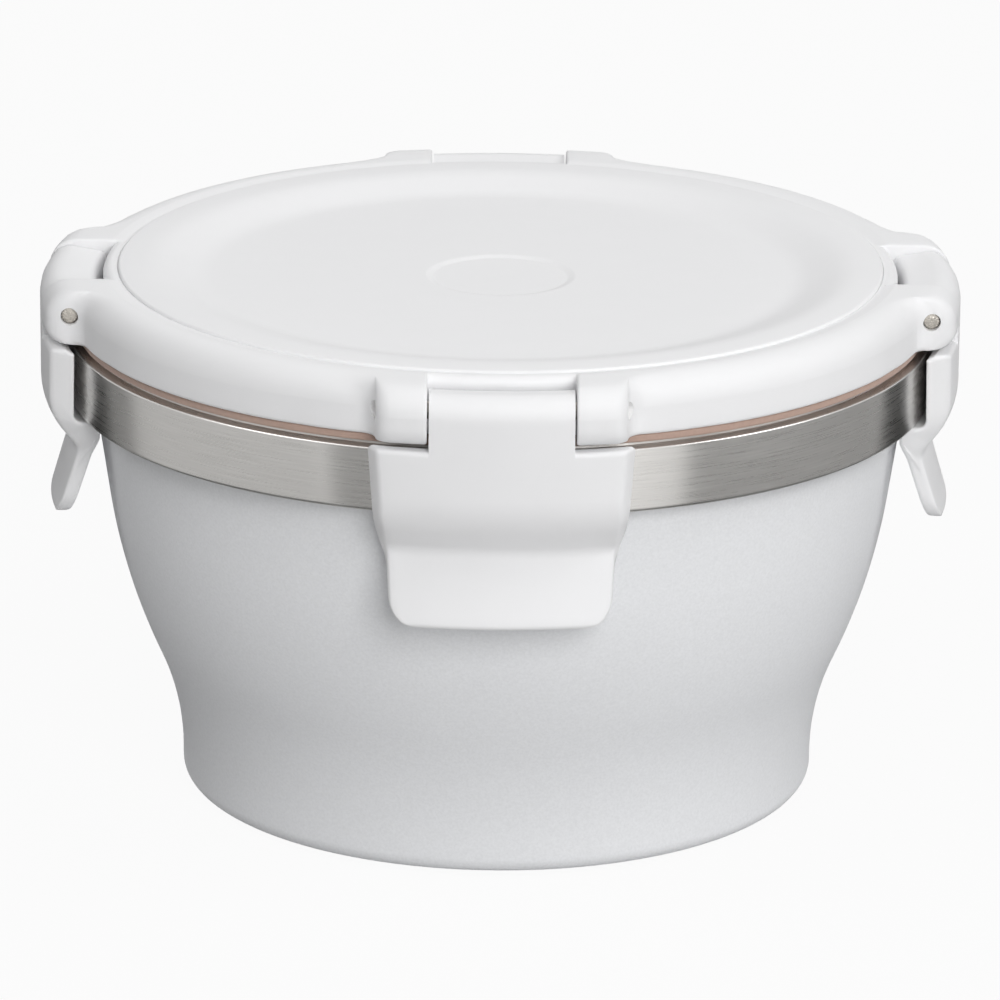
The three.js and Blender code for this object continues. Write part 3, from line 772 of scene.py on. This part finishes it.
class BOWL_OT_gasket(Operator):
    """Turn the silicone gasket under the lid's skirt"""

    bl_idname = "bowl.gasket"
    bl_label = "Gasket"

    def execute(self, context):
        lid = context.scene.lid_sizes
        rim = context.scene.bowl_sizes.rim_height
        finish = context.scene.bowl_finish
        inside = lid.gasket_radius - lid.gasket_width
        outline = rounded([
            (inside, rim, 0), (lid.gasket_radius, rim, lid.gasket_edge),
            (lid.gasket_radius, lid.seat, lid.gasket_edge), (inside, lid.seat, 0)])
        gasket = turned("silicone_gasket", outline, taupe_silicone(finish.silicone))
        place(gasket, "lid", "silicone", "lid_gasket")
        return {"FINISHED"}


class BOWL_OT_panel(Operator):
    """Turn the dished panel in the top of the lid"""

    bl_idname = "bowl.panel"
    bl_label = "Lid panel"

    def execute(self, context):
        lid = context.scene.lid_sizes
        finish = context.scene.bowl_finish
        land = lid.panel_radius - lid.land_width
        floor_edge = land - lid.slope_width
        floor = lid.panel_top - lid.dish_depth
        under = floor - lid.panel_thickness
        disc_floor = floor - lid.disc_recess
        upper = rounded([
            (lid.panel_radius, lid.panel_seat, 0),
            (lid.panel_radius, lid.panel_top, lid.panel_edge),
            (land, lid.panel_top, lid.slope_round),
            (floor_edge, floor, lid.slope_round),
            (lid.disc_radius, floor, DISC_ROUND),
            (lid.disc_radius - lid.disc_slope, disc_floor, DISC_ROUND),
            (0, disc_floor, 0)], steps=10)
        lower = rounded([
            (0, under, 0), (floor_edge, under, PANEL_UNDER_ROUND), (land, lid.panel_seat, PANEL_UNDER_ROUND),
            (lid.panel_radius, lid.panel_seat, 0)])
        plastic = white_polypropylene(finish.polypropylene)
        panel = turned("dished_lid_panel", [*lower[:-1], *upper], plastic)
        place(panel, "lid", "white_plastic", "lid_panel")
        return {"FINISHED"}


class BOWL_OT_lid_frame(Operator):
    """Loft the lid's frame: spigot, skirt and shoulder, swelling into two lugs at each latch"""

    bl_idname = "bowl.lid_frame"
    bl_label = "Lid frame"

    def execute(self, context):
        lid = context.scene.lid_sizes
        latch = context.scene.latch_sizes
        half = self.half_columns(lid, latch)
        mirrored = [(-across, section) for across, section in reversed(half[1:])]
        bare = self.section(lid, self.skirt_path(lid))
        columns = []
        for quarter in range(len(SIDES)):
            turn = Matrix.Rotation(quarter * math.pi / 2, 3, "Z")
            for across, section in [*mirrored, *half]:
                columns.append([turn @ self.beside(lid, across, r, z) for r, z in section])
            for step in range(RADIAL_COLUMNS):
                share = step / (RADIAL_COLUMNS - 1)
                bearing = RADIAL_START + share * (math.pi / 2 - 2 * RADIAL_START)
                columns.append([
                    turn @ Vector((r * math.sin(bearing), -r * math.cos(bearing), z)) for r, z in bare])
        faces = strips(columns, True, False)
        points = [point for column in columns for point in column]
        plastic = bpy.data.materials.get("moulded_polypropylene")
        lid_frame = new_piece("lid_frame_with_lugs", points, faces, plastic)
        quarters = [side * math.pi / 2 for side in range(len(SIDES))]
        bored(lid_frame, lid.pin_hole, lid.lug_half_width + lid.lug_fillet, quarters)
        place(lid_frame, "lid", "white_plastic", "lid_frame")
        return {"FINISHED"}

    def beside(self, lid, across, radius, height):
        """A point at a radius, on a column that runs straight back beside the latch's middle."""
        parallel = lid.panel_radius - lid.panel_ledge
        offset = across * min(radius / parallel, 1)
        return Vector((offset, -math.sqrt(radius ** 2 - offset ** 2), height))

    def section(self, lid, outer_path):
        """The whole section from the axis over the top and under the spigot, with a given outer path."""
        cavity = lid.panel_radius - lid.panel_ledge
        recess = lid.panel_radius + lid.panel_gap
        floor_top = lid.spigot_bottom + lid.floor
        return rounded([
            (0, floor_top, 0),
            (cavity, floor_top, SPIGOT_ROUND),
            (cavity, lid.panel_seat, 0),
            (recess, lid.panel_seat, 0),
            (recess, lid.groove, FINE_ROUND),
            *outer_path,
            (lid.spigot_radius, lid.seat, SMALL_ROUND),
            (lid.spigot_radius, lid.spigot_bottom, SPIGOT_ROUND),
            (0, lid.spigot_bottom, 0)], between=2)

    def skirt_path(self, lid):
        """From the groove over the shoulder and down the skirt."""
        rise = lid.panel_radius + lid.shoulder_rise
        return [
            (lid.panel_radius + GROOVE_WIDTH, lid.groove, GROOVE_ROUND),
            (rise, lid.shoulder, SHOULDER_FOOT_ROUND),
            (lid.skirt_radius, lid.shoulder, lid.shoulder_round),
            (lid.skirt_radius, (lid.shoulder + lid.seat) / 2, 0),
            (lid.skirt_radius, lid.seat, lid.skirt_edge),
            (lid.skirt_radius - lid.skirt_edge, lid.seat, 0)]

    def lug_path(self, lid, latch, across, pulled_in):
        """From the groove over a lug's rounded top, down its face and under it."""
        rise = lid.panel_radius + lid.shoulder_rise
        across = min(across, lid.lug_half_width)
        face = math.hypot(latch.face_radius - pulled_in - across ** 2 / (2 * lid.lug_plan), across)
        return [
            (lid.panel_radius + GROOVE_WIDTH, lid.groove, GROOVE_ROUND),
            (rise, lid.shoulder - pulled_in, SHOULDER_FOOT_ROUND),
            (face, lid.shoulder - pulled_in, lid.lug_round),
            (face, (lid.shoulder + lid.seat) / 2, 0),
            (face, lid.lug_bottom + pulled_in, lid.lug_foot_round),
            (lid.skirt_radius - lid.skirt_edge, lid.seat, SMALL_ROUND)]

    def notch_path(self, lid, latch):
        """From the groove to the wall behind the latch's tongue, and down to the lip below it."""
        wall_behind = latch.hinge_radius - lid.notch_depth
        wall_top = wall_behind + NOTCH_LEAN
        lip = latch.hinge_radius - lid.notch_lip
        top = lid.shoulder - NOTCH_DROP
        return [
            (lid.panel_radius + GROOVE_WIDTH, lid.groove, GROOVE_ROUND),
            (wall_top, top, lid.notch_edge),
            (wall_behind, latch.hinge_height + 1 * MM, 0),
            (wall_behind, latch.hinge_height, 0),
            (wall_behind, lid.seat + 0.3 * MM, lid.notch_foot),
            (lip, lid.seat, 0)]

    def half_columns(self, lid, latch):
        """Columns from a latch's middle outwards: notch, lug edge, lug, rounded lug end, hollow fillet."""
        notch, end = lid.notch_half_width, lid.lug_half_width
        columns = []
        pocket = self.section(lid, self.notch_path(lid, latch))
        for step in range(NOTCH_COLUMNS + 1):
            columns.append((notch * step / NOTCH_COLUMNS, pocket))
        for step in range(EDGE_COLUMNS + 1):
            bend = math.pi / 2 * step / EDGE_COLUMNS
            across = notch + lid.lug_edge * (1 - math.cos(bend))
            pulled_in = lid.lug_edge * (1 - math.sin(bend))
            columns.append((across, self.section(lid, self.lug_path(lid, latch, across, pulled_in))))
        lug_start, lug_end = notch + lid.lug_edge, end - lid.lug_end_edge
        for step in range(1, LUG_COLUMNS + 1):
            across = lug_start + (lug_end - lug_start) * step / LUG_COLUMNS
            columns.append((across, self.section(lid, self.lug_path(lid, latch, across, 0))))
        reach = latch.face_radius - lid.skirt_radius
        edge_share = lid.lug_end_edge / reach
        bare = self.section(lid, self.skirt_path(lid))
        for step in range(1, LUG_END_COLUMNS + 1):
            bend = math.pi / 2 * step / LUG_END_COLUMNS
            across = lug_end + lid.lug_end_edge * math.sin(bend)
            share = 1 - edge_share * (1 - math.cos(bend))
            lug = self.section(lid, self.lug_path(lid, latch, across, 0))
            columns.append((across, [plain.lerp(full, share) for plain, full in zip(bare, lug)]))
        lug = self.section(lid, self.lug_path(lid, latch, end, 0))
        for step in range(1, FILLET_COLUMNS + 1):
            across = end + lid.lug_flare * (1 - math.cos(math.pi / 2 * step / FILLET_COLUMNS))
            columns.append((across, [
                plain.lerp(full, (1 - edge_share) * self.hollow(lid, across - end, full.y))
                for plain, full in zip(bare, lug)]))
        return columns

    def hollow(self, lid, distance, height):
        """How much of a lug is left in the hollow beyond its end, which is wider above than below."""
        rise = min(max((height - lid.lug_bottom) / (lid.shoulder - lid.lug_bottom), 0), 1)
        width = lid.lug_fillet + (lid.lug_flare - lid.lug_fillet) * rise ** FLARE_POWER
        return 1 - math.sqrt(1 - max(1 - distance / width, 0) ** 2)


class BOWL_OT_latches(Operator):
    """Loft one latch and set four alike on their hinges"""

    bl_idname = "bowl.latches"
    bl_label = "Latches"

    def execute(self, context):
        latch = context.scene.latch_sizes
        sizes = context.scene.bowl_sizes
        points, faces = self.shape(latch, sizes)
        plastic = bpy.data.materials.get("moulded_polypropylene")
        first = new_piece("hinged_latch_front", points, faces, plastic)
        bored(first, latch.bore_radius, latch.flap_half_width, [0])
        shape = first.data.copy()
        place(first, "front_latch", "white_plastic", "latch_front")
        for quarter, side in enumerate(SIDES[1:], 1):
            mesh = shape.copy()
            mesh.name = f"hinged_latch_{side}"
            mesh.transform(Matrix.Rotation(quarter * math.pi / 2, 4, "Z"))
            copy = bpy.data.objects.new(mesh.name, mesh)
            context.scene.collection.objects.link(copy)
            place(copy, f"{side}_latch", "white_plastic", f"latch_{side}")
        return {"FINISHED"}

    def corners(self, latch, sizes, with_tongue):
        """Corners of the latch's section: the outer path from the tip to the top, then the inner path. Both
        have corners across from each other, so that strips between them close the latch's ends."""
        face, slot, tip = latch.face_radius, latch.slot_radius, latch.tab_tip
        crease = face - latch.crease_depth
        tip_outer = crease + latch.tab_lean
        tip_inner = tip_outer - latch.tab_thickness
        hook_top = sizes.band_bottom - latch.hook_gap
        middle = (latch.bend + latch.shoulder) / 2
        on_slope = (
            crease + SLOPE_SHARE * latch.crease_depth,
            latch.crease + SLOPE_SHARE * (latch.bend - latch.crease), 0)
        outer = [
            ((tip_inner + tip_outer) / 2, tip, 0),
            (tip_outer, tip - latch.tip_slant / 2, latch.tip_round),
            (crease, latch.crease, latch.crease_round),
            on_slope,
            (face, latch.bend, latch.bend_round),
            (face, middle, 0)]
        inner = [
            (tip_inner, tip + latch.tip_slant / 2, latch.tip_round),
            (latch.hook_radius, hook_top - latch.hook_thickness, HOOK_ROUND),
            (latch.hook_radius, hook_top, HOOK_TOP_ROUND),
            (slot, hook_top, latch.slot_round),
            (slot, middle, 0)]
        if with_tongue:
            back = latch.hinge_radius - latch.tongue_back
            underside = latch.hinge_height - latch.hub
            outer += [
                (face, latch.tongue_top, latch.tongue_round),
                (back, latch.tongue_top - latch.tongue_fall, latch.tongue_back_round),
                (back, latch.hinge_height, 0)]
            inner += [(slot, underside + TONGUE_STEP, SMALL_ROUND), (back, underside, latch.tongue_back)]
        else:
            top_width = face - slot - latch.relief_width
            outer += [
                (face, latch.shoulder, latch.shoulder_edge),
                (face - top_width / 2, latch.shoulder, 0),
                (face - 0.6 * top_width, latch.shoulder, 0)]
            inner += [
                (slot, latch.shoulder - latch.relief_drop, FINE_ROUND),
                (slot + latch.relief_width, latch.shoulder, SMALL_ROUND)]
        return outer, inner

    def section(self, latch, sizes, with_tongue, pulled_in):
        """The latch's outer and inner paths, alike in length, pulled in from the outline by a distance."""
        outer, inner = self.corners(latch, sizes, with_tongue)
        if pulled_in > 0:
            loop = inset([*outer, *reversed(inner)], pulled_in)
            outer, inner = loop[:len(outer)], loop[:len(outer) - 1:-1]
        outer_path = rounded(outer, between=LATCH_ROWS)
        inner_path = rounded([outer[0], *inner, outer[-1]], between=LATCH_ROWS)
        return outer_path, inner_path

    def half_width(self, latch, radius, height):
        """Half the latch's width at a place in its section: its sides lean in towards its outer face."""
        corner_top = latch.tab_tip + latch.tab_corner
        face, slot = latch.face_radius, latch.slot_radius
        crease = face - latch.crease_depth
        tip = crease + latch.tab_lean
        waist = latch.crease + 1.5 * MM
        below_crease = latch.crease - 1 * MM
        waist_draft, tab_draft = 0.65 * latch.draft, 0.15 * latch.draft
        # Each row: height, half width, draft, and the radii between which the sides lean in.
        rows = (
            (latch.shoulder, latch.flap_half_width, latch.draft, slot, face),
            (latch.bend, latch.bend_half_width, latch.draft, slot, face),
            (waist, latch.waist_half_width, waist_draft, crease - 2 * MM, crease + 1.2 * MM),
            (below_crease, latch.tab_half_width, tab_draft, crease - 2.6 * MM, crease + 0.3 * MM),
            (corner_top, latch.tab_foot_half_width, tab_draft, tip - 4.3 * MM, tip - 1.4 * MM),
            (latch.tab_tip, latch.tab_foot_half_width, 0, tip - latch.tab_thickness, tip))
        at = next(at for at in range(1, len(rows)) if height >= rows[at][0] or at == len(rows) - 1)
        high, low = rows[at - 1], rows[at]
        share = min(max((height - low[0]) / (high[0] - low[0]), 0), 1)
        width, draft, back, front = [
            below + (above - below) * share for above, below in zip(high[1:], low[1:])]
        lean = min(max((radius - back) / (front - back), -LEAN_BLEND), 1)
        if lean < LEAN_BLEND:
            lean = (lean + LEAN_BLEND) ** 2 / (4 * LEAN_BLEND)
        drop = min(max(corner_top - height, 0), latch.tab_corner)
        return width - draft * lean - latch.tab_corner + math.sqrt(latch.tab_corner ** 2 - drop ** 2)

    def column(self, latch, across, section):
        """The section's points on one column, which beyond the tongue follows the latch's outline."""
        straight = latch.tongue_half_width
        column = []
        for radius, height in [*section[0], *reversed(section[1])]:
            offset = across
            if abs(across) > straight:
                width = self.half_width(latch, radius, height)
                share = (abs(across) - straight) / (latch.flap_half_width - straight)
                offset = math.copysign(straight + share * (width - straight), across)
            column.append(Vector((offset, -math.sqrt(radius ** 2 - offset ** 2), height)))
        return column

    def shape(self, latch, sizes):
        """Columns across the latch, closed at both ends by strips between its outer and inner paths."""
        with_tongue = self.section(latch, sizes, True, 0)
        bare = self.section(latch, sizes, False, 0)
        tongue, width = latch.tongue_half_width, latch.flap_half_width
        flap = width - latch.edge - tongue
        half = [(tongue * step / TONGUE_COLUMNS, with_tongue) for step in range(TONGUE_COLUMNS + 1)]
        half += [(tongue + flap * step / FLAP_COLUMNS, bare) for step in range(FLAP_COLUMNS + 1)]
        for step in range(1, EDGE_COLUMNS + 1):
            bend = math.pi / 2 * step / EDGE_COLUMNS
            pulled_in = latch.edge * (1 - math.cos(bend))
            across = width - latch.edge + latch.edge * math.sin(bend)
            half.append((across, self.section(latch, sizes, False, pulled_in)))
        mirrored = [(-across, section) for across, section in reversed(half[1:])]
        columns = [self.column(latch, across, section) for across, section in [*mirrored, *half]]
        rows = len(columns[0])
        faces = strips(columns, False, True)
        last = (len(columns) - 1) * rows
        for row in range(rows // 2 - 1):
            pair = (row, row + 1, rows - 2 - row, rows - 1 - row)
            faces.append(pair[::-1])
            faces.append(tuple(last + at for at in pair))
        return [point for column in columns for point in column], faces


class BOWL_OT_pins(Operator):
    """Make the hinge pins with their splined ends"""

    bl_idname = "bowl.pins"
    bl_label = "Hinge pins"

    def execute(self, context):
        latch = context.scene.latch_sizes
        steel = drawn_steel(context.scene.bowl_finish.pin_steel)
        for quarter, side in enumerate(SIDES):
            points, faces = self.shape(latch, quarter * math.pi / 2)
            pin = new_piece(f"steel_hinge_pin_{side}", points, faces, steel)
            place(pin, "lid", "pin_steel", f"hinge_pin_{side}")
        return {"FINISHED"}

    def shape(self, latch, turn):
        """Rings along the pin: a plain middle, splined ends and a rounded edge round each end face."""
        reach, radius = latch.pin_reach, latch.pin_radius
        edge = [
            (reach - latch.pin_edge * (1 - math.sin(bend)), radius - latch.pin_edge * (1 - math.cos(bend)))
            for bend in (0, math.pi / 6, math.pi / 3, math.pi / 2)]
        half = [(0, radius), (reach - latch.spline_reach, radius), *edge, (reach, 0)]
        rings = [(-along, around) for along, around in reversed(half[1:])] + half
        axis = Matrix.Translation((0, -latch.hinge_radius, latch.hinge_height))
        hinge = Matrix.Rotation(turn, 4, "Z") @ axis
        columns = []
        for along, around in rings:
            splined = around > 0 and abs(along) > reach - latch.spline_reach
            ring = []
            for step in range(PIN_SIDES):
                bearing = 2 * math.pi * step / PIN_SIDES
                ripple = (0.5 - 0.5 * math.cos(bearing * PIN_SPLINES)) if splined else 0
                spoke = around - latch.spline_depth * ripple
                ring.append(hinge @ Vector((along, spoke * math.cos(bearing), spoke * math.sin(bearing))))
            columns.append(ring)
        return [point for ring in columns for point in ring], strips(columns, False, True)


class BOWL_OT_stage(Operator):
    """Set up the paper floor, the soft lights and the camera"""

    bl_idname = "bowl.stage"
    bl_label = "Stage"

    def execute(self, context):
        self.floor(context)
        self.world(context)
        for light in LIGHTS:
            self.softbox(context, *light)
        for card in CARDS:
            self.card(*card)
        self.shade_card()
        self.camera(context)
        context.scene.view_settings.view_transform = "Standard"
        return {"FINISHED"}

    def floor(self, context):
        radius = context.scene.bowl_stage.floor_radius
        bpy.ops.mesh.primitive_circle_add(vertices=FLOOR_SIDES, radius=radius, fill_type="NGON")
        floor = context.object
        floor.name = "paper_floor"
        floor.data.materials.append(seamless_paper(context.scene.bowl_finish.floor))

    def world(self, context):
        world = bpy.data.worlds.new("studio")
        context.scene.world = world
        world.use_nodes = True
        tree = world.node_tree
        tree.nodes.clear()
        level = add_node(tree, "ShaderNodeMapRange", {
            "Value": seen_directly(tree), "To Min": ROOM_LIGHT, "To Max": 1})
        light = add_node(tree, "ShaderNodeBackground", {
            "Color": (1, 1, 1, 1), "Strength": level.outputs["Result"]})
        add_node(tree, "ShaderNodeOutputWorld", {"Surface": light.outputs["Background"]})

    def softbox(self, context, name, bearing, rise, power):
        """A square soft light at a bearing from the front, in degrees, aimed at the bowl."""
        lamp = bpy.data.lights.new(name, "AREA")
        lamp.shape = "SQUARE"
        lamp.size = LIGHT_SIZE
        lamp.energy = power
        light = bpy.data.objects.new(name, lamp)
        level = math.cos(math.radians(rise))
        turn = math.radians(bearing)
        way = Vector((math.sin(turn) * level, -math.cos(turn) * level, math.sin(math.radians(rise))))
        light.location = Vector((0, 0, PANEL_HIGH.z / 2)) + way * LIGHT_DISTANCE
        light.rotation_mode = "QUATERNION"
        light.rotation_quaternion = (-way).to_track_quat("-Z", "Y")
        context.scene.collection.objects.link(light)

    def card(self, name, start, end, grey):
        """A standing curved card that only reflections see, from one bearing to another round the bowl."""
        columns = []
        for step in range(CARD_STEPS + 1):
            bearing = math.radians(start + (end - start) * step / CARD_STEPS)
            foot = Vector((math.sin(bearing), -math.cos(bearing), 0)) * CARD_RADIUS
            columns.append([foot, foot + Vector((0, 0, CARD_HEIGHT))])
        self.only_reflected(name, columns, False, grey)

    def shade_card(self):
        """A dark ring on the floor that only reflections see, as the shade round a standing bowl."""
        columns = []
        for step in range(TURN_SEGMENTS):
            bearing = 2 * math.pi * step / TURN_SEGMENTS
            way = Vector((math.sin(bearing), -math.cos(bearing), 0))
            columns.append([way * reach + Vector((0, 0, SHADE_CARD_HEIGHT)) for reach in SHADE_CARD])
        self.only_reflected("shade_card", columns, True, SHADE_CARD_GREY)

    def only_reflected(self, name, columns, closed_ring, grey):
        """Makes a card from its columns, and hides it from all but reflections."""
        points = [point for column in columns for point in column]
        card = new_piece(name, points, strips(columns, closed_ring, False), plain_card(name, grey))
        card.visible_camera = False
        card.visible_diffuse = False
        card.visible_shadow = False
        card.visible_transmission = False

    def camera(self, context):
        stage = context.scene.bowl_stage
        data = bpy.data.cameras.new("camera")
        data.lens = stage.lens
        data.sensor_width = 36
        data.clip_end = 20
        camera = bpy.data.objects.new("camera", data)
        level = math.cos(stage.pitch)
        ahead, aside = math.cos(stage.azimuth) * level, math.sin(stage.azimuth) * level
        forward = Vector((aside, ahead, -math.sin(stage.pitch)))
        right = Vector((math.cos(stage.azimuth), -math.sin(stage.azimuth), 0))
        up = right.cross(forward)
        rolled_right = right * math.cos(stage.roll) + up * math.sin(stage.roll)
        rolled_up = up * math.cos(stage.roll) - right * math.sin(stage.roll)
        turn = Matrix((rolled_right, rolled_up, -forward)).transposed()
        stand = Matrix.Translation((stage.camera_x, stage.camera_y, stage.camera_z))
        camera.matrix_world = stand @ turn.to_4x4()
        context.scene.collection.objects.link(camera)
        context.scene.camera = camera


class BOWL_PT_panel(Panel):
    bl_idname = "BOWL_PT_panel"
    bl_label = "Lidded bowl"
    bl_space_type = "VIEW_3D"
    bl_region_type = "UI"
    bl_category = "Bowl"

    def draw(self, context):
        for operator in OPERATORS:
            self.layout.operator(operator.bl_idname)


GROUPS = {
    "bowl_sizes": BowlSizes,
    "lid_sizes": LidSizes,
    "latch_sizes": LatchSizes,
    "bowl_finish": BowlFinish,
    "bowl_stage": BowlStage,
}
OPERATORS = (
    BOWL_OT_outer_shell,
    BOWL_OT_liner,
    BOWL_OT_base,
    BOWL_OT_band,
    BOWL_OT_gasket,
    BOWL_OT_panel,
    BOWL_OT_lid_frame,
    BOWL_OT_latches,
    BOWL_OT_pins,
    BOWL_OT_stage,
)


def register():
    for group in (*GROUPS.values(), *OPERATORS, BOWL_PT_panel):
        bpy.utils.register_class(group)
    for name, group in GROUPS.items():
        setattr(bpy.types.Scene, name, PointerProperty(type=group))


def unregister():
    for name in GROUPS:
        delattr(bpy.types.Scene, name)
    for group in (BOWL_PT_panel, *reversed(OPERATORS), *reversed(GROUPS.values())):
        bpy.utils.unregister_class(group)


def main():
    register()
    for operator in OPERATORS:
        group, name = operator.bl_idname.split(".")
        getattr(getattr(bpy.ops, group), name)()


if __name__ == "__main__":
    main()
